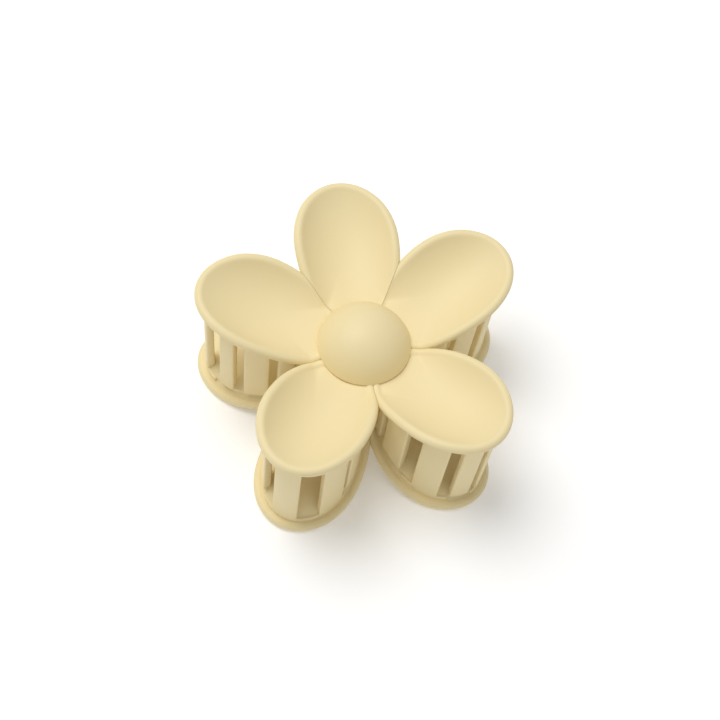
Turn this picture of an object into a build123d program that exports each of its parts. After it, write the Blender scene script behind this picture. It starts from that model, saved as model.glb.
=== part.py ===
from build123d import *
from math import cos, radians, sin
import os

# Flower claw clip: two mirrored five-petal halves joined by a sprung hinge.
# +Y runs through the thumb petals, +X through the right-hand side, +Z up.
# The origin is on the rest plane under the centre of the closed clip.

# ---- driving dimensions, millimetres and degrees ----
HALF_HEIGHT = 16.3            # rest plane to the plane between the two halves
PETAL_CENTRE = 23.0           # distance of a petal's widest place from the flower's centre
PETAL_REACH = 13.9            # rim centre line, from the widest place out to the tip
PETAL_ROOT = 17.0             # rim centre line, from the widest place in towards the button
PETAL_HALF_WIDTH = 10.7
RIM_RADIUS = 1.1
THUMB, LEFT, FRONT_LEFT, FRONT_RIGHT, RIGHT = 90.0, 155.0, 232.5, 307.5, 25.0

RIM_CREST_AT = 34.8           # the rim is highest this far out along the petal
RIM_ARC_RADIUS = 43.7         # seen from the side, the rim falls away inwards on this arc
RIM_CREST_HEIGHT = 16.4       # crest above the middle plane, before the land is cut
BOWL_LONG, BOWL_ROUND = 22.7, 12.5       # half-axes of the egg that hollows a petal
BOWL_AT, BOWL_FLOOR = 22.5, 9.5          # its lowest place, seen square to its long axis
BOWL_TILT = 14.0
SHELL, GLUE, PAN = 1.2, 0.05, 1.0      # flower's skin, glue line, claw's pan under each petal

HUB_RADIUS, HUB_HIGH = 13.5, 8.6
HUB_LOW = 7.1                 # where flower and claw hubs meet, above the middle plane
CLAW_HUB_LOW = 6.1
BUTTON_RADIUS, BUTTON_RISE = 10.4, 7.5
PEG_RADIUS, PEG_HOLE_RADIUS = 2.5, 2.52

WALL_INSET, WALL_THICKNESS = 1.9, 1.8    # claw wall, inwards from the rim's outer edge
CURB_DROP = 4.3               # lower edge of the wall's solid band, below the rim's crest line
TOOTH_END_DROP = 3.1          # a tooth stops this far short of the other half's crest line
TOOTH_END_GAP = 0.5           # and this far short of the other half's pan
WALL_END = 138.0              # the walls stop at this outline angle, next to the hub
SIDE_WALL_BACK = 50.0         # and at this one behind the hinge, on the side petals
FRONT_CLEARANCE, SIDE_CLEARANCE = 3.0, 8.0   # notch beside a tooth, as outline angle

# Teeth as (outline angle, half of the angle it spans); 0 is the petal's tip.
UPPER_TEETH = {
    LEFT: [(64, 9), (95, 11)],
    FRONT_LEFT: [(-112, 8), (-51, 11), (96, 12)],
    FRONT_RIGHT: [(-131, 4), (-108, 12), (-24, 13), (45, 11), (110, 9)],
    RIGHT: [(-64, 9), (-95, 11)],
}
LOWER_TEETH = {
    LEFT: [(19, 11), (120, 7)],
    FRONT_LEFT: [(-85, 10), (1, 18), (62, 16), (121, 7)],
    FRONT_RIGHT: [(-66, 15), (9, 10), (78, 11)],
    RIGHT: [(-19, 11), (-120, 7)],
}
SIDE_PETALS = (LEFT, RIGHT)

HINGE_Y = 13.0
LUG_RADIUS, LUG_THICKNESS = 3.2, 2.0
UPPER_LUG_X, LOWER_LUG_X = 6.8, 9.2
PIN_RADIUS, PIN_HOLE_RADIUS, PIN_RUNNING_RADIUS = 1.0, 1.02, 1.06
PIN_HEAD_RADIUS, PIN_HEAD_THICKNESS, PIN_END_PLAY = 1.8, 0.8, 0.2

WIRE_RADIUS, LEG_RADIUS, COIL_RADIUS, COIL_PITCH = 0.45, 0.4, 2.2, 1.05
LEG_LENGTH, LEG_LEAN = 10.2, 31.0        # straight ends of the spring, leaving its coil at a slope
COIL_TURNS = 8 + (180 - 2 * LEG_LEAN) / 360

FLOWER_Y = -2.93              # puts the clip's outline centrally over the origin

MIDDLE = Plane.XY.offset(HALF_HEIGHT)

os.makedirs("parts", exist_ok=True)


# ---- shapes in a petal's own frame: X runs outwards, Z up, Z zero at the rest plane ----
def outline(grow):
    """The petal's plan: half an ellipse outwards and a longer half inwards."""
    with BuildSketch(MIDDLE) as plan:
        with BuildLine():
            centre = (PETAL_CENTRE, 0)
            width = PETAL_HALF_WIDTH + grow
            EllipticalCenterArc(centre, PETAL_REACH + grow, width, 90, arc_size=180, rotation=180)
            EllipticalCenterArc(centre, PETAL_ROOT + grow, width, 90, arc_size=180)
        make_face()
    return plan.sketch


def outline_point(angle, scale):
    """A point past the plan's edge at an outline angle, for cutting it into sectors."""
    reach = PETAL_REACH if abs(angle) <= 90 else PETAL_ROOT
    along = PETAL_CENTRE + scale * reach * cos(radians(angle))
    across = scale * PETAL_HALF_WIDTH * sin(radians(angle))
    return (along, across)


def sector(start, end):
    """A fan from the petal's widest place between two outline angles."""
    steps = max(2, int((end - start) / 30) + 1)
    rim = [outline_point(start + (end - start) * i / steps, 1.6) for i in range(steps + 1)]
    with BuildSketch(MIDDLE) as fan:
        with BuildLine():
            Polyline((PETAL_CENTRE, 0), *rim, close=True)
        make_face()
    return fan.sketch


def arc_barrel(side, drop):
    """A barrel across the petal whose top (side 1) or underside (side -1) is the rim's arc."""
    height = HALF_HEIGHT + side * (RIM_CREST_HEIGHT - RIM_ARC_RADIUS)
    with BuildPart() as barrel:
        with BuildSketch(Plane.XZ):
            with Locations((RIM_CREST_AT, height)):
                Circle(RIM_ARC_RADIUS - drop)
        extrude(amount=PETAL_HALF_WIDTH + 5, both=True)
    return barrel.part


def egg(grow):
    """The egg-shaped solid of revolution that hollows a petal, or backs it when grown."""
    lean = radians(BOWL_TILT)
    along = BOWL_AT - BOWL_ROUND * sin(lean)
    height = HALF_HEIGHT + BOWL_FLOOR + BOWL_ROUND * cos(lean)
    with BuildPart() as body:
        with BuildSketch(Plane.XZ):
            with BuildLine():
                arc = EllipticalCenterArc((along, height), BOWL_LONG + grow, BOWL_ROUND + grow,
                                          0, arc_size=180, rotation=BOWL_TILT)
                Line(arc @ 1, arc @ 0)
            make_face()
        revolve(axis=Axis((along, 0, height), (cos(lean), 0, sin(lean))))
    return body.part


def slice_of_flower(left, right):
    """The plan's share of one petal, between the half-way lines to its two neighbours."""
    far = 3 * PETAL_CENTRE
    with BuildSketch(MIDDLE) as share:
        with BuildLine():
            Polyline((0, 0), (far * cos(radians(right)), -far * sin(radians(right))),
                     (far * cos(radians(left)), far * sin(radians(left))), close=True)
        make_face()
    return share.sketch


def petal_shell(left, right):
    """One spoon-shaped petal with its raised rim."""
    with BuildSketch(MIDDLE) as plan:
        add(outline(RIM_RADIUS))
        add(slice_of_flower(left, right), mode=Mode.INTERSECT)
    with BuildPart() as petal:
        extrude(plan.sketch, amount=HALF_HEIGHT)
        add(arc_barrel(1, 0), mode=Mode.INTERSECT)
        add(egg(SHELL), mode=Mode.INTERSECT)
        add(egg(0), mode=Mode.SUBTRACT)
    return petal.part


def petal_claw(angle, left, right, teeth, notches):
    """What hangs under one petal: a pan, a low notched wall round it, and the wall's teeth."""
    clearance = SIDE_CLEARANCE if angle in SIDE_PETALS else FRONT_CLEARANCE
    start = -SIDE_WALL_BACK if angle == LEFT else -WALL_END
    end = SIDE_WALL_BACK if angle == RIGHT else WALL_END
    outside = RIM_RADIUS - WALL_INSET
    with BuildSketch(MIDDLE) as ring:
        add(outline(outside))
        add(outline(outside - WALL_THICKNESS), mode=Mode.SUBTRACT)
    with BuildSketch(MIDDLE) as wall_plan:
        add(ring.sketch)
        add(sector(start, end), mode=Mode.INTERSECT)
        for middle, half in notches:
            add(sector(middle - half - clearance, middle + half + clearance),
                mode=Mode.SUBTRACT)
    with BuildSketch(MIDDLE) as tooth_plan:
        for middle, half in teeth:
            add(sector(middle - half, middle + half))
        add(ring.sketch, mode=Mode.INTERSECT)
    with BuildSketch(MIDDLE) as pan_plan:
        add(outline(outside - WALL_THICKNESS / 4))
        add(slice_of_flower(left, right), mode=Mode.INTERSECT)

    with BuildPart() as band:
        extrude(wall_plan.sketch, amount=HALF_HEIGHT)
        add(arc_barrel(1, CURB_DROP), mode=Mode.SUBTRACT)
    with BuildPart() as comb:
        extrude(tooth_plan.sketch, amount=HALF_HEIGHT, both=True)
        add(arc_barrel(-1, TOOTH_END_DROP), mode=Mode.INTERSECT)
        add(egg(SHELL + GLUE + PAN + TOOTH_END_GAP).mirror(MIDDLE), mode=Mode.SUBTRACT)
    with BuildPart() as body:
        extrude(pan_plan.sketch, amount=HALF_HEIGHT)
        add(egg(SHELL + GLUE + PAN), mode=Mode.INTERSECT)
        add(band.part)
        add(comb.part)
        add(egg(SHELL + GLUE), mode=Mode.SUBTRACT)
    return body.part


def turned(part, angle):
    """A petal's shape turned to its place round the flower."""
    return part.moved(Location((0, 0, 0), (0, 0, angle)))


# half of the angle from each petal to its neighbour, anticlockwise and clockwise
AROUND = (THUMB, LEFT, FRONT_LEFT, FRONT_RIGHT, RIGHT)
SHARES = {
    petal_angle: (((AROUND[(i + 1) % 5] - petal_angle) % 360) / 2,
                  ((petal_angle - AROUND[i - 1]) % 360) / 2)
    for i, petal_angle in enumerate(AROUND)
}

# ---- shapes of the upper half, with the flower's centre over the origin ----
def flower():
    """A thin shell of five petals round a hub."""
    with BuildPart() as shell:
        with BuildSketch(MIDDLE.offset(HUB_LOW)):
            Circle(HUB_RADIUS)
        extrude(amount=HUB_HIGH - HUB_LOW)
        for petal_angle, share in SHARES.items():
            add(turned(petal_shell(*share), petal_angle))
        with BuildSketch(MIDDLE.offset(HUB_HIGH)):
            Circle(BUTTON_RADIUS)
        extrude(amount=HALF_HEIGHT, mode=Mode.SUBTRACT)
        with BuildSketch(MIDDLE):
            Circle(PEG_HOLE_RADIUS)
        extrude(amount=HALF_HEIGHT, mode=Mode.SUBTRACT)
    return shell.part


def button():
    """The domed centre, with a peg down into the hub."""
    seat = HALF_HEIGHT + HUB_HIGH
    dome_radius = (BUTTON_RADIUS**2 + BUTTON_RISE**2) / (2 * BUTTON_RISE)
    with BuildPart() as body:
        with Locations((0, 0, seat + BUTTON_RISE - dome_radius)):
            Sphere(dome_radius)
        with BuildSketch(Plane.XY.offset(seat)):
            Circle(BUTTON_RADIUS + 1)
        extrude(amount=BUTTON_RISE + 1, mode=Mode.INTERSECT)
        with BuildSketch(MIDDLE.offset(CLAW_HUB_LOW)):
            Circle(PEG_RADIUS)
        extrude(amount=HUB_HIGH - CLAW_HUB_LOW)
    return body.part


def claw(teeth, notches, lug_x, hole_radius):
    """Pans, walls and teeth under four petals, with a hub disc and two hinge lugs."""
    petals = {angle: petal_claw(angle, *SHARES[angle], teeth[angle], notches[angle])
              for angle in teeth}
    with BuildPart() as frame:
        for angle, petal in petals.items():
            add(turned(petal, angle))
        with BuildSketch(MIDDLE.offset(HUB_LOW - GLUE)):
            Circle(HUB_RADIUS + GLUE)
        extrude(amount=HALF_HEIGHT, mode=Mode.SUBTRACT)
        with BuildSketch(MIDDLE.offset(CLAW_HUB_LOW)):
            Circle(HUB_RADIUS)
        extrude(amount=HUB_LOW - GLUE - CLAW_HUB_LOW)
        for side in (-1, 1):
            with BuildSketch(Plane.YZ.offset(side * lug_x)):
                with Locations((HINGE_Y, HALF_HEIGHT)):
                    Circle(LUG_RADIUS)
                    Rectangle(2 * LUG_RADIUS, HUB_LOW - GLUE, align=(Align.CENTER, Align.MIN))
            extrude(amount=LUG_THICKNESS / 2, both=True)
        with BuildSketch(Plane.YZ):
            with Locations((HINGE_Y, HALF_HEIGHT)):
                Circle(hole_radius)
        extrude(amount=PETAL_CENTRE / 2, both=True, mode=Mode.SUBTRACT)
        with BuildSketch(MIDDLE):
            Circle(PEG_HOLE_RADIUS)
        extrude(amount=HALF_HEIGHT, mode=Mode.SUBTRACT)
    return frame.part


def placed(part, flipped):
    """A shape moved to its place in the clip, turned upside down for the lower half."""
    shape = part.mirror(MIDDLE) if flipped else part
    return shape.moved(Location((0, FLOWER_Y, 0)))


# ---- the two flowers and their buttons ----
flower_shape = flower()
button_shape = button()

with BuildPart() as upper_flower:
    add(placed(flower_shape, False))
upper_flower.part.label = "upper_flower"
export_step(upper_flower.part, "parts/upper_flower.step")

with BuildPart() as lower_flower:
    add(placed(flower_shape, True))
lower_flower.part.label = "lower_flower"
export_step(lower_flower.part, "parts/lower_flower.step")

with BuildPart() as upper_button:
    add(placed(button_shape, False))
upper_button.part.label = "upper_button"
export_step(upper_button.part, "parts/upper_button.step")

with BuildPart() as lower_button:
    add(placed(button_shape, True))
lower_button.part.label = "lower_button"
export_step(lower_button.part, "parts/lower_button.step")

# ---- the two claws; the upper one turns on the pin and the lower one grips it ----
upper_claw_shape = claw(UPPER_TEETH, LOWER_TEETH, UPPER_LUG_X, PIN_RUNNING_RADIUS)
lower_claw_shape = claw(LOWER_TEETH, UPPER_TEETH, LOWER_LUG_X, PIN_HOLE_RADIUS)

with BuildPart() as upper_claw:
    add(placed(upper_claw_shape, False))
upper_claw.part.label = "upper_claw"
export_step(upper_claw.part, "parts/upper_claw.step")

with BuildPart() as lower_claw:
    add(placed(lower_claw_shape, True))
lower_claw.part.label = "lower_claw"
export_step(lower_claw.part, "parts/lower_claw.step")

# ---- hinge pin with a flat head at each end ----
axle_y = HINGE_Y + FLOWER_Y
pin_half = LOWER_LUG_X + LUG_THICKNESS / 2 + PIN_END_PLAY
with BuildPart() as hinge_pin:
    with BuildSketch(Plane.YZ):
        with Locations((axle_y, HALF_HEIGHT)):
            Circle(PIN_RADIUS)
    extrude(amount=pin_half, both=True)
    for side in (-1, 1):
        with BuildSketch(Plane.YZ.offset(side * pin_half)):
            with Locations((axle_y, HALF_HEIGHT)):
                Circle(PIN_HEAD_RADIUS)
        extrude(amount=side * PIN_HEAD_THICKNESS)
hinge_pin.part.label = "hinge_pin"
export_step(hinge_pin.part, "parts/hinge_pin.step")

# ---- torsion spring: closely wound round the pin, so its coil is a plain sleeve; two legs ----
coil_length = COIL_PITCH * COIL_TURNS
slope = radians(LEG_LEAN)
with BuildPart() as torsion_spring:
    with BuildSketch(Plane.YZ):
        with Locations((axle_y, HALF_HEIGHT)):
            Circle(COIL_RADIUS + WIRE_RADIUS)
            Circle(COIL_RADIUS - WIRE_RADIUS, mode=Mode.SUBTRACT)
    extrude(amount=coil_length / 2 + WIRE_RADIUS, both=True)
    for side, up in ((-1, 1), (1, -1)):
        root = (side * coil_length / 2, axle_y - COIL_RADIUS * sin(slope),
                HALF_HEIGHT + up * COIL_RADIUS * cos(slope))
        with BuildSketch(Plane(origin=root, z_dir=(0, cos(slope), up * sin(slope)))):
            Circle(LEG_RADIUS)
        extrude(amount=LEG_LENGTH)
torsion_spring.part.label = "torsion_spring"
export_step(torsion_spring.part, "parts/torsion_spring.step")
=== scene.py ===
"""Flower claw clip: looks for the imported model, in its frame (metres, +Z up)."""
from math import cos, pi, radians, sin, sqrt

import bmesh
import bpy
from mathutils import Matrix, Vector


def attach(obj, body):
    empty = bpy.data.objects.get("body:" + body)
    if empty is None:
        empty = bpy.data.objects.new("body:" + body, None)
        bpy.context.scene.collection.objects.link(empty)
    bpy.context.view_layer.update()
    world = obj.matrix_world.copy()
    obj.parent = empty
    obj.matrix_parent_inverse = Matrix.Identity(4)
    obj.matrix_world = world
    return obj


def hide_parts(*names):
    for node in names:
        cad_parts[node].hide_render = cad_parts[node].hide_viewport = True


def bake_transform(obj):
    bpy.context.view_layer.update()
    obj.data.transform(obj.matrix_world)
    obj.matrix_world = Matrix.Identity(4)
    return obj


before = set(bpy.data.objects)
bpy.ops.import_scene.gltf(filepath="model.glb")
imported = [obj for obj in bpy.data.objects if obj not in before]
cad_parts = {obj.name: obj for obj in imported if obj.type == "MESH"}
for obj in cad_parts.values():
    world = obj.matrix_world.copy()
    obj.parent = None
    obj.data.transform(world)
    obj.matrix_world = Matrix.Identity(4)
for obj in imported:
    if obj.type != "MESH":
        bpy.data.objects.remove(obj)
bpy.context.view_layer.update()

# ---- dimensions in millimetres, most of them the CAD's; z is counted from the plane between the halves ----
MM = 0.001
HALF_HEIGHT = 16.3
FLOWER_Y = -2.93
PETAL_CENTRE, PETAL_REACH, PETAL_ROOT, PETAL_HALF_WIDTH = 23.0, 13.9, 17.0, 10.7
RIM_RADIUS, BEAD_START = 1.1, 140        # bead of the rim, and where on it the bowl begins, in degrees
BEAD_STEPS, BEAD_STEP = 14, 20
RIM_CREST_AT, RIM_ARC_RADIUS, RIM_ARC_TOP = 34.8, 43.7, 16.4
RIM_CREST_HEIGHT, CREST_LOWEST = 16.28, 8.75
FRONT_TIP_TRIM, TIP_TRIM = 0.15, 0.01    # taken off the petals' reach
BOWL_LONG, BOWL_ROUND, BOWL_AT, BOWL_FLOOR, BOWL_TILT = 22.7, 12.5, 22.5, 9.5, radians(14)
BOWL_BLEND, BOWL_BLEND_INNER, BACK_BLEND = 7, 4, 9    # powers with which the bowl meets the bead
INNER_FROM, INNER_OVER = 85, 45          # outline angles over which the inner power takes over
BOWL_RINGS, BACK_RINGS = 30, 15
SHELL, PAN = 1.2, 1.0
SEAM = 0.035                  # half of the fine gap between two petals
THUMB, LEFT, FRONT_LEFT, FRONT_RIGHT, RIGHT = 90.0, 155.0, 232.5, 307.5, 25.0
AROUND = (THUMB, LEFT, FRONT_LEFT, FRONT_RIGHT, RIGHT)
HUB_RADIUS, HUB_HIGH, HUB_LOW, CLAW_HUB_LOW = 13.4, 8.6, 7.05, 6.1
BUTTON_RADIUS, BUTTON_RISE = 10.4, 7.5
PEG_RADIUS, PEG_RING = 2.5, 2.52         # the button's peg, and the ring of points round it on the disc
WALL_OUT, WALL_IN = -0.8, -2.6
BAND_DROP, TOOTH_END_DROP, TOOTH_END_GAP = 3.5, 3.1, 0.55
WALL_TOP_DROP, WALL_IN_SHELL = 1.7, 0.3
PAN_INSET, PAN_GAP, PAN_DROP = 0.6, 0.1, 0.6
SIDE_CLEARANCE, FRONT_CLEARANCE = 8.0, 3.0
# Teeth as (outline angle, half of the angle it spans), in degrees; 0 is the petal's tip.
UPPER_TEETH = {
    LEFT: [(64, 9), (95, 11)],
    FRONT_LEFT: [(-112, 8), (-51, 11), (96, 12)],
    FRONT_RIGHT: [(-131, 4), (-108, 12), (-24, 13), (45, 11), (110, 9)],
    RIGHT: [(-64, 9), (-95, 11)],
}
LOWER_TEETH = {
    LEFT: [(19, 11), (120, 7)],
    FRONT_LEFT: [(-85, 10), (1, 18), (62, 16), (121, 7)],
    FRONT_RIGHT: [(-66, 15), (9, 10), (78, 11)],
    RIGHT: [(-19, 11), (-120, 7)],
}
WALL_END, SIDE_WALL_BACK = 138, 50       # outline angles where the walls stop
TOOTH_EDGE, WALL_EDGE = 0.35, 0.25       # softening of their edges
HINGE_Y, PIN_RADIUS, PIN_HEAD_RADIUS, PIN_HEAD_THICKNESS, PIN_END_PLAY = 13.0, 1.0, 1.8, 0.8, 0.2
UPPER_LUG_X, LOWER_LUG_X, LUG_RADIUS, LUG_THICKNESS = 6.8, 9.2, 3.2, 2.0
UPPER_HOLE_RADIUS, LOWER_HOLE_RADIUS = 1.06, 1.02
WIRE_RADIUS, COIL_RADIUS, COIL_PITCH = 0.45, 2.2, 1.05
LEG_LENGTH, LEG_LEAN = 10.2, 31.0
COIL_TURNS = 8 + (180 - 2 * LEG_LEAN) / 360

CAMERA_AIM, CAMERA_DISTANCE, CAMERA_LENS = Vector((-0.07, -2.41, HALF_HEIGHT)), 293.29, 65.42
# degrees: round +Z from -Y, up from the floor, and about the line of sight
CAMERA_TURN, CAMERA_RISE, CAMERA_ROLL = -19.65, 61.31, 10.21
FLOOR_HALF = 3                # metres


# ---- surfaces of a petal, in its own frame: u runs outwards, v across ----
def crest(u):
    """Height of the rim's highest line; next to the button it levels out."""
    arc = RIM_ARC_TOP - RIM_ARC_RADIUS + sqrt(RIM_ARC_RADIUS**2 - (u - RIM_CREST_AT)**2)
    return max(CREST_LOWEST, min(RIM_CREST_HEIGHT, arc))


def bowl(u, v, grow):
    """Height of the lower side of the tilted egg that hollows the petal."""
    a, b = BOWL_LONG + grow, BOWL_ROUND + grow
    c, s = cos(BOWL_TILT), sin(BOWL_TILT)
    x = u - (BOWL_AT - BOWL_ROUND * s)
    qa = s * s / a**2 + c * c / b**2
    qb = 2 * x * c * s * (1 / a**2 - 1 / b**2)
    qc = x * x * (c * c / a**2 + s * s / b**2) + v * v / b**2 - 1
    return BOWL_FLOOR + BOWL_ROUND * c + (-qb - sqrt(max(0.0, qb * qb - 4 * qa * qc))) / (2 * qa)


def outline(angle, grow):
    """A point of the petal's plan; grow is how far outside the rim's centre line it lies."""
    t = radians(angle)
    reach = PETAL_REACH if abs(angle) <= 90 else PETAL_ROOT
    return (PETAL_CENTRE + (reach + grow) * cos(t), (PETAL_HALF_WIDTH + grow) * sin(t))


def to_flower(angle, u, v, z, side):
    """From a petal's frame to the part's, in metres; side is 1 for the upper half, -1 for the lower."""
    c, s = cos(radians(angle)), sin(radians(angle))
    return (MM * (u * c - v * s), MM * (u * s + v * c + FLOWER_Y), MM * (HALF_HEIGHT + side * z))


# ---- mesh helpers ----
def loft(bm, rows, closed_rows, closed_columns):
    """Faces between rows of points; returns the rows of vertices."""
    grid = [[bm.verts.new(p) for p in row] for row in rows]
    last_row = len(grid) if closed_rows else len(grid) - 1
    for i in range(last_row):
        one, two = grid[i], grid[(i + 1) % len(grid)]
        last = len(one) if closed_columns else len(one) - 1
        for j in range(last):
            k = (j + 1) % len(one)
            bm.faces.new((one[j], one[k], two[k], two[j]))
    return grid


def add_to(whole, one):
    """Moves the geometry of one bmesh into another."""
    mesh = bpy.data.meshes.new("part")
    one.to_mesh(mesh)
    one.free()
    whole.from_mesh(mesh)
    bpy.data.meshes.remove(mesh)


def finished(bm, name, body, material, replaced=(), sharp=None):
    """Turns a bmesh into a piece with smooth shading that rides on a body."""
    bmesh.ops.recalc_face_normals(bm, faces=bm.faces)
    mesh = bpy.data.meshes.new(name)
    bm.to_mesh(mesh)
    bm.free()
    mesh.shade_smooth()
    if sharp is not None:
        mesh.set_sharp_from_angle(angle=radians(sharp))
    piece = bpy.data.objects.new(name, mesh)
    bpy.context.scene.collection.objects.link(piece)
    mesh.materials.append(material)
    if replaced:
        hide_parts(*replaced)
    if body:
        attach(piece, body)
    return piece


def shares(index):
    """Half of the angle to the next petal each way, anticlockwise then clockwise."""
    angle = AROUND[index]
    return ((AROUND[(index + 1) % 5] - angle) % 360) / 2, ((angle - AROUND[index - 1]) % 360) / 2


def cut_to_share(bm, angle, left, right):
    """Trims a petal's mesh on the half-way planes to its neighbours and closes the cuts."""
    for turn, out in ((angle + left, 1), (angle - right, -1)):
        t = radians(turn)
        normal = Vector((-sin(t) * out, cos(t) * out, 0))
        point = Vector((0, FLOWER_Y * MM, 0)) - normal * SEAM * MM
        found = bmesh.ops.bisect_plane(bm, geom=bm.verts[:] + bm.edges[:] + bm.faces[:], dist=1e-8,
                                       plane_co=point, plane_no=normal, clear_outer=True)
        edges = [e for e in found["geom_cut"] if isinstance(e, bmesh.types.BMEdge)]
        if edges:
            bmesh.ops.triangle_fill(bm, edges=edges, use_beauty=True)


def lathe(bm, profile, centre, axis, steps=96):
    """A closed turned shape; profile is (radius, height) pairs from pole to pole, in millimetres."""
    helper = Vector((0, 0, 1)) if abs(axis.z) < 0.5 else Vector((1, 0, 0))
    x = axis.cross(helper).normalized()
    y = axis.cross(x)
    rows = [[centre + (x * cos(2 * pi * i / steps) + y * sin(2 * pi * i / steps)) * r * MM + axis * h * MM
             for i in range(steps)] for r, h in profile if r > 0]
    grid = loft(bm, rows, False, True)
    for row, (_, h) in ((grid[0], profile[0]), (grid[-1], profile[-1])):
        pole = bm.verts.new(centre + axis * h * MM)
        for i in range(steps):
            bm.faces.new((row[i], row[(i + 1) % steps], pole))


def rounded(points, radius, steps=5):
    """A profile whose inner corners are replaced by small curves."""
    out = [points[0]]
    for before, here, after in zip(points, points[1:], points[2:]):
        p, q, r = Vector(before), Vector(here), Vector(after)
        a = q + (p - q).normalized() * min(radius, (p - q).length / 2)
        b = q + (r - q).normalized() * min(radius, (r - q).length / 2)
        for i in range(steps + 1):
            k = i / steps
            out.append(tuple(a * (1 - k)**2 + q * 2 * k * (1 - k) + b * k * k))
    return out + [points[-1]]


# ---- materials: all made from noise, no flat colour ----
def plastic(name, light, deep, roughness):
    """Moulded plastic: two close tints in a cloud, with a fine grain in gloss and relief."""
    mat = bpy.data.materials.new(name)
    mat.use_nodes = True
    nodes, links = mat.node_tree.nodes, mat.node_tree.links
    shader = nodes["Principled BSDF"]
    place = nodes.new("ShaderNodeTexCoord")
    cloud = nodes.new("ShaderNodeTexNoise")
    cloud.inputs["Scale"].default_value = 55
    cloud.inputs["Detail"].default_value = 4
    tint = nodes.new("ShaderNodeMix")
    tint.data_type = "RGBA"
    tint.inputs["A"].default_value = (*deep, 1)
    tint.inputs["B"].default_value = (*light, 1)
    grain = nodes.new("ShaderNodeTexNoise")
    grain.inputs["Scale"].default_value = 5200
    grain.inputs["Detail"].default_value = 3
    gloss = nodes.new("ShaderNodeMapRange")
    gloss.inputs["To Min"].default_value = roughness - 0.05
    gloss.inputs["To Max"].default_value = roughness + 0.06
    bump = nodes.new("ShaderNodeBump")
    bump.inputs["Strength"].default_value = 0.05
    bump.inputs["Distance"].default_value = 0.00004
    links.new(place.outputs["Object"], cloud.inputs["Vector"])
    links.new(place.outputs["Object"], grain.inputs["Vector"])
    links.new(cloud.outputs["Fac"], tint.inputs["Factor"])
    links.new(tint.outputs["Result"], shader.inputs["Base Color"])
    links.new(grain.outputs["Fac"], gloss.inputs["Value"])
    links.new(gloss.outputs["Result"], shader.inputs["Roughness"])
    links.new(grain.outputs["Fac"], bump.inputs["Height"])
    links.new(bump.outputs["Normal"], shader.inputs["Normal"])
    shader.inputs["Specular IOR Level"].default_value = 0.35
    return mat


def steel(name, light, deep, roughness):
    """The same cloud and grain on bare metal."""
    mat = plastic(name, light, deep, roughness)
    shader = mat.node_tree.nodes["Principled BSDF"]
    shader.inputs["Metallic"].default_value = 1.0
    return mat


cream = plastic("cream_plastic", (0.90, 0.765, 0.445), (0.875, 0.735, 0.415), 0.52)
pin_steel = steel("pin_steel", (0.62, 0.62, 0.63), (0.5, 0.5, 0.51), 0.32)
spring_steel = steel("spring_steel", (0.30, 0.30, 0.32), (0.2, 0.2, 0.21), 0.38)


# ---- flower: spoon-shaped petals with a rounded bead all round ----
def petal(bm, angle, left, right, side):
    """One petal: bowl, bead and underside as columns of points from the middle out and back."""
    turns = 144
    trim = FRONT_TIP_TRIM if angle in (FRONT_LEFT, FRONT_RIGHT) else TIP_TRIM
    bead = [BEAD_START - i * BEAD_STEP for i in range(BEAD_STEPS)]
    back = RIM_RADIUS * cos(radians(BEAD_START))
    columns = []
    for i in range(turns):
        t = -180 + 360 * i / turns
        u, v = outline(t, 0)
        u -= trim * max(0.0, cos(radians(t)))
        reach = PETAL_REACH if abs(t) <= 90 else PETAL_ROOT
        normal = Vector((cos(radians(t)) / reach, sin(radians(t)) / PETAL_HALF_WIDTH)).normalized()
        height = crest(u) - RIM_RADIUS
        column = []
        lip = (u + normal.x * back, v + normal.y * back)
        lift = height + RIM_RADIUS * sin(radians(BEAD_START)) - bowl(*lip, 0)
        inward = min(1.0, max(0.0, (abs(t) - INNER_FROM) / INNER_OVER))
        fade = BOWL_BLEND - (BOWL_BLEND - BOWL_BLEND_INNER) * inward * inward * (3 - 2 * inward)
        for k in range(1, BOWL_RINGS):
            r = k / BOWL_RINGS
            p = (PETAL_CENTRE + (lip[0] - PETAL_CENTRE) * r, lip[1] * r)
            column.append((*p, bowl(*p, 0) + lift * r**fade))
        for a in bead:
            c, s = cos(radians(a)) * RIM_RADIUS, sin(radians(a)) * RIM_RADIUS
            column.append((u + normal.x * c, v + normal.y * c, height + s))
        foot = column[-1]
        drop = foot[2] - bowl(foot[0], foot[1], SHELL)
        for k in range(BACK_RINGS - 1, 0, -1):
            r = k / BACK_RINGS
            p = (PETAL_CENTRE + (foot[0] - PETAL_CENTRE) * r, foot[1] * r)
            column.append((*p, bowl(*p, SHELL) + drop * r**BACK_BLEND))
        columns.append([to_flower(angle, *p, side) for p in column])
    grid = loft(bm, columns, True, False)
    for end, grow in ((0, 0), (-1, SHELL)):
        pole = bm.verts.new(to_flower(angle, PETAL_CENTRE, 0, bowl(PETAL_CENTRE, 0, grow), side))
        for i in range(turns):
            bm.faces.new((grid[i][end], grid[(i + 1) % turns][end], pole))
    cut_to_share(bm, angle, left, right)


def flower(name, side, body, node):
    """Five petals, each cut to its own share of the flower."""
    whole = bmesh.new()
    for index, angle in enumerate(AROUND):
        one = bmesh.new()
        petal(one, angle, *shares(index), side)
        add_to(whole, one)
    return finished(whole, name, body, cream, (node,), sharp=50)


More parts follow.
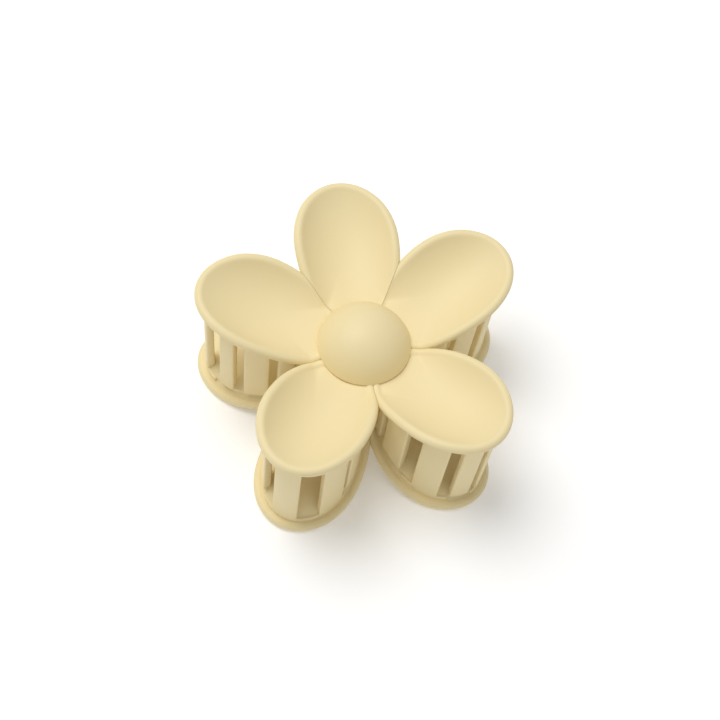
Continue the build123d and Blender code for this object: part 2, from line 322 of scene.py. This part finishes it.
def button(name, side, body, node):
    """A spherical cap with a rounded foot and a peg."""
    radius = (BUTTON_RADIUS**2 + BUTTON_RISE**2) / (2 * BUTTON_RISE)
    top = [(radius * sin(radians(a)), HUB_HIGH + BUTTON_RISE - radius * (1 - cos(radians(a))))
           for a in (0, 2, 5, 10, 16, 22, 28, 34, 40, 46, 52, 57, 62, 66, 69)]
    base = rounded([top[-1], (BUTTON_RADIUS, HUB_HIGH + 0.1), (BUTTON_RADIUS - 0.35, HUB_HIGH - 0.35),
                    (PEG_RADIUS, HUB_HIGH - 0.35), (PEG_RADIUS, CLAW_HUB_LOW), (0, CLAW_HUB_LOW)], 0.25)
    bm = bmesh.new()
    centre = Vector((0, FLOWER_Y * MM, HALF_HEIGHT * MM))
    lathe(bm, top + base[1:], centre, Vector((0, 0, side)), 128)
    return finished(bm, name, body, cream, (node,), sharp=60)


# ---- claw: a pan under each petal, a low wall, teeth, a hub disc and two hinge lugs ----
def block(bm, angle, start, end, top, bottom, side, soft):
    """A piece of the wall or a tooth, between two outline angles, with softened edges."""
    one = bmesh.new()
    steps = max(3, int((end - start) / 3))
    rows = []
    for i in range(steps + 1):
        t = start + (end - start) * i / steps
        row = []
        for grow, z in ((WALL_OUT, top), (WALL_OUT, bottom), (WALL_IN, bottom), (WALL_IN, top)):
            u, v = outline(t, grow)
            row.append(to_flower(angle, u, v, z(u, v), side))
        rows.append(row)
    grid = loft(one, rows, False, True)
    for row in (grid[0], grid[-1]):
        one.faces.new(row)
    bmesh.ops.recalc_face_normals(one, faces=one.faces)
    edges = [e for e in one.edges if len(e.link_faces) == 2 and e.calc_face_angle() > radians(40)]
    bmesh.ops.bevel(one, geom=edges, offset=soft * MM, offset_type="OFFSET", segments=3, profile=0.5,
                    affect="EDGES", clamp_overlap=True)
    add_to(bm, one)


def under(u, v):
    """Top of a wall or tooth, just inside the flower's shell."""
    return min(bowl(u, v, SHELL - WALL_IN_SHELL), crest(u) - WALL_TOP_DROP)


def band_foot(u, v):
    """Lower edge of the wall between the teeth."""
    return crest(u) - BAND_DROP


def tooth_end(u, v):
    """Free end of a tooth, short of the other half's rim and pan."""
    return -min(crest(u) - TOOTH_END_DROP, bowl(u, v, SHELL + PAN + TOOTH_END_GAP))


def pan(bm, angle, left, right, side):
    """The claw's thin shell under one petal."""
    one = bmesh.new()
    turns = 96
    columns = []
    for i in range(turns):
        u, v = outline(-180 + 360 * i / turns, WALL_OUT - PAN_INSET)
        column = []
        for grow, steps in ((SHELL + PAN_GAP, range(1, 13)), (SHELL + PAN, range(12, 0, -1))):
            for k in steps:
                p = (PETAL_CENTRE + (u - PETAL_CENTRE) * k / 12, v * k / 12)
                column.append(to_flower(angle, *p, min(bowl(*p, grow), crest(p[0]) - PAN_DROP - grow), side))
        columns.append(column)
    grid = loft(one, columns, True, False)
    for end, grow in ((0, SHELL + PAN_GAP), (-1, SHELL + PAN)):
        pole = one.verts.new(to_flower(angle, PETAL_CENTRE, 0, bowl(PETAL_CENTRE, 0, grow), side))
        for i in range(turns):
            one.faces.new((grid[i][end], grid[(i + 1) % turns][end], pole))
    cut_to_share(one, angle, left, right)
    add_to(bm, one)


def lug(bm, x, hole, side):
    """A flat ear with a pin hole, hanging from the hub disc."""
    steps = 48
    loops = []
    for offset, inset in ((-1, 0.25), (-0.75, 0), (0.75, 0), (1, 0.25)):
        outer = []
        for i in range(steps):
            t = 2 * pi * i / steps
            reach = LUG_RADIUS - inset
            far = reach
            if sin(t) > 1e-6:
                far = min(reach / max(1e-6, abs(cos(t))), (HUB_LOW - 0.2) / sin(t))
            outer.append((far * cos(t), far * sin(t)))
        loops.append((x + offset * LUG_THICKNESS / 2, outer))
    inner = [(hole * cos(2 * pi * i / steps), hole * sin(2 * pi * i / steps)) for i in range(steps)]
    loops.append((x + LUG_THICKNESS / 2, inner))
    loops.append((x - LUG_THICKNESS / 2, inner))
    rows = [[(MM * px, MM * (HINGE_Y + FLOWER_Y + y), MM * (HALF_HEIGHT + side * z)) for y, z in loop]
            for px, loop in loops]
    loft(bm, rows, True, True)


def claw(name, side, body, node, teeth, notches, lug_x, hole):
    """One half's comb; its wall is notched where the other half's teeth pass."""
    bm = bmesh.new()
    for index, angle in enumerate(AROUND):
        if angle == THUMB:
            continue
        pan(bm, angle, *shares(index), side)
        for middle, half in teeth[angle]:
            block(bm, angle, middle - half, middle + half, under, tooth_end, side, TOOTH_EDGE)
        clearance = SIDE_CLEARANCE if angle in (LEFT, RIGHT) else FRONT_CLEARANCE
        first = -SIDE_WALL_BACK if angle == LEFT else -WALL_END
        last = SIDE_WALL_BACK if angle == RIGHT else WALL_END
        gaps = sorted((m - h - clearance, m + h + clearance) for m, h in notches[angle])
        at = first
        for low, high in gaps + [(last, last)]:
            if low - at > 1.5:
                block(bm, angle, at, min(low, last), under, band_foot, side, WALL_EDGE)
            at = max(at, high)
    centre = Vector((0, FLOWER_Y * MM, HALF_HEIGHT * MM))
    disc = rounded([(0, HUB_LOW), (HUB_RADIUS, HUB_LOW), (HUB_RADIUS, CLAW_HUB_LOW),
                    (PEG_RING, CLAW_HUB_LOW), (0, CLAW_HUB_LOW)], 0.2)
    lathe(bm, disc, centre, Vector((0, 0, side)), 96)
    for x in (-lug_x, lug_x):
        lug(bm, x, hole, side)
    return finished(bm, name, body, cream, (node,), sharp=45)


flower("upper_petals", 1, "upper_half", "upper_flower")
button("upper_dome", 1, "upper_half", "upper_button")
claw("upper_comb", 1, "upper_half", "upper_claw", UPPER_TEETH, LOWER_TEETH,
     UPPER_LUG_X, UPPER_HOLE_RADIUS)
flower("lower_petals", -1, "lower_half", "lower_flower")
button("lower_dome", -1, "lower_half", "lower_button")
claw("lower_comb", -1, "lower_half", "lower_claw", LOWER_TEETH, UPPER_TEETH,
     LOWER_LUG_X, LOWER_HOLE_RADIUS)

# ---- hinge pin ----
half = LOWER_LUG_X + LUG_THICKNESS / 2 + PIN_END_PLAY
end = half + PIN_HEAD_THICKNESS
axle = Vector((0, (HINGE_Y + FLOWER_Y) * MM, HALF_HEIGHT * MM))
profile = rounded([(0, -end), (PIN_HEAD_RADIUS, -end), (PIN_HEAD_RADIUS, -half), (PIN_RADIUS, -half),
                   (PIN_RADIUS, half), (PIN_HEAD_RADIUS, half), (PIN_HEAD_RADIUS, end), (0, end)], 0.2)
pin_mesh = bmesh.new()
lathe(pin_mesh, profile, axle, Vector((1, 0, 0)), 48)
finished(pin_mesh, "pin", "lower_half", pin_steel, ("hinge_pin",), sharp=60)

# ---- torsion spring: a coil round the pin and two straight legs ----
length = COIL_PITCH * COIL_TURNS
steps = int(COIL_TURNS * 28)
path = []
for i in range(steps + 1):
    t = radians(90 + LEG_LEAN) + 2 * pi * COIL_TURNS * i / steps
    path.append(Vector((-length / 2 + length * i / steps, COIL_RADIUS * cos(t), COIL_RADIUS * sin(t))))
first = (path[0] - path[1]).normalized()
last = (path[-1] - path[-2]).normalized()
path = ([path[0] + first * LEG_LENGTH * k / 12 for k in range(12, 0, -1)] + path
        + [path[-1] + last * LEG_LENGTH * k / 12 for k in range(1, 13)])
across = Vector((1, 0, 0))
wire = bmesh.new()
rings = []
for i, p in enumerate(path):
    ahead = (path[min(i + 1, len(path) - 1)] - path[max(i - 1, 0)]).normalized()
    side_way = (across - ahead * across.dot(ahead)).normalized()
    up_way = ahead.cross(side_way)
    ring = [side_way * cos(2 * pi * k / 12) + up_way * sin(2 * pi * k / 12) for k in range(12)]
    rings.append([axle + (p + spoke * WIRE_RADIUS) * MM for spoke in ring])
tube = loft(wire, rings, False, True)
for ring in (tube[0], tube[-1]):
    wire.faces.new(ring)
spring = finished(wire, "spring", None, spring_steel, ("torsion_spring",), sharp=60)
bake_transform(spring)

# ---- floor, light and camera ----
floor_mesh = bmesh.new()
loft(floor_mesh, [[(-FLOOR_HALF, y, 0), (FLOOR_HALF, y, 0)] for y in (-FLOOR_HALF, FLOOR_HALF)],
     False, False)
floor_data = bpy.data.meshes.new("floor")
floor_mesh.to_mesh(floor_data)
floor_mesh.free()
floor = bpy.data.objects.new("floor", floor_data)
bpy.context.scene.collection.objects.link(floor)
paper = plastic("paper", (0.97, 0.97, 0.97), (0.96, 0.96, 0.96), 0.85)
paper_shader = paper.node_tree.nodes["Principled BSDF"]
paper_shader.inputs["Emission Color"].default_value = (1, 1, 1, 1)
paper_shader.inputs["Emission Strength"].default_value = 0.15
floor_data.materials.append(paper)


def lamp(name, place, aim, size, power):
    """A round area light at a place, turned towards its aim; all in metres and watts."""
    data = bpy.data.lights.new(name, "AREA")
    data.shape = "DISK"
    data.size = size
    data.energy = power
    lamp_object = bpy.data.objects.new(name, data)
    lamp_object.location = place
    lamp_object.rotation_euler = (Vector(aim) - Vector(place)).to_track_quat("-Z", "Y").to_euler()
    bpy.context.scene.collection.objects.link(lamp_object)


lamp("key", (-0.26, 0.26, 0.9), (0, 0, 0.01), 0.65, 5.7)
lamp("fill", (0.7, -0.6, 0.9), (0.0, 0, 0.01), 0.9, 0.9)

world = bpy.data.worlds.new("studio")
bpy.context.scene.world = world
world.use_nodes = True
world.node_tree.nodes["Background"].inputs["Color"].default_value = (1, 1, 1, 1)
world.node_tree.nodes["Background"].inputs["Strength"].default_value = 0.40

lens = bpy.data.cameras.new("camera")
lens.lens = CAMERA_LENS
lens.sensor_width = 36.0
camera = bpy.data.objects.new("camera", lens)
turned = (Matrix.Rotation(radians(CAMERA_TURN), 4, "Z") @ Matrix.Rotation(radians(90 - CAMERA_RISE), 4, "X")
          @ Matrix.Rotation(radians(CAMERA_ROLL), 4, "Z"))
back = turned.col[2].to_3d()
camera.matrix_world = Matrix.Translation((CAMERA_AIM + back * CAMERA_DISTANCE) * MM) @ turned
bpy.context.scene.collection.objects.link(camera)
bpy.context.scene.camera = camera
bpy.context.scene.view_settings.view_transform = "Standard"
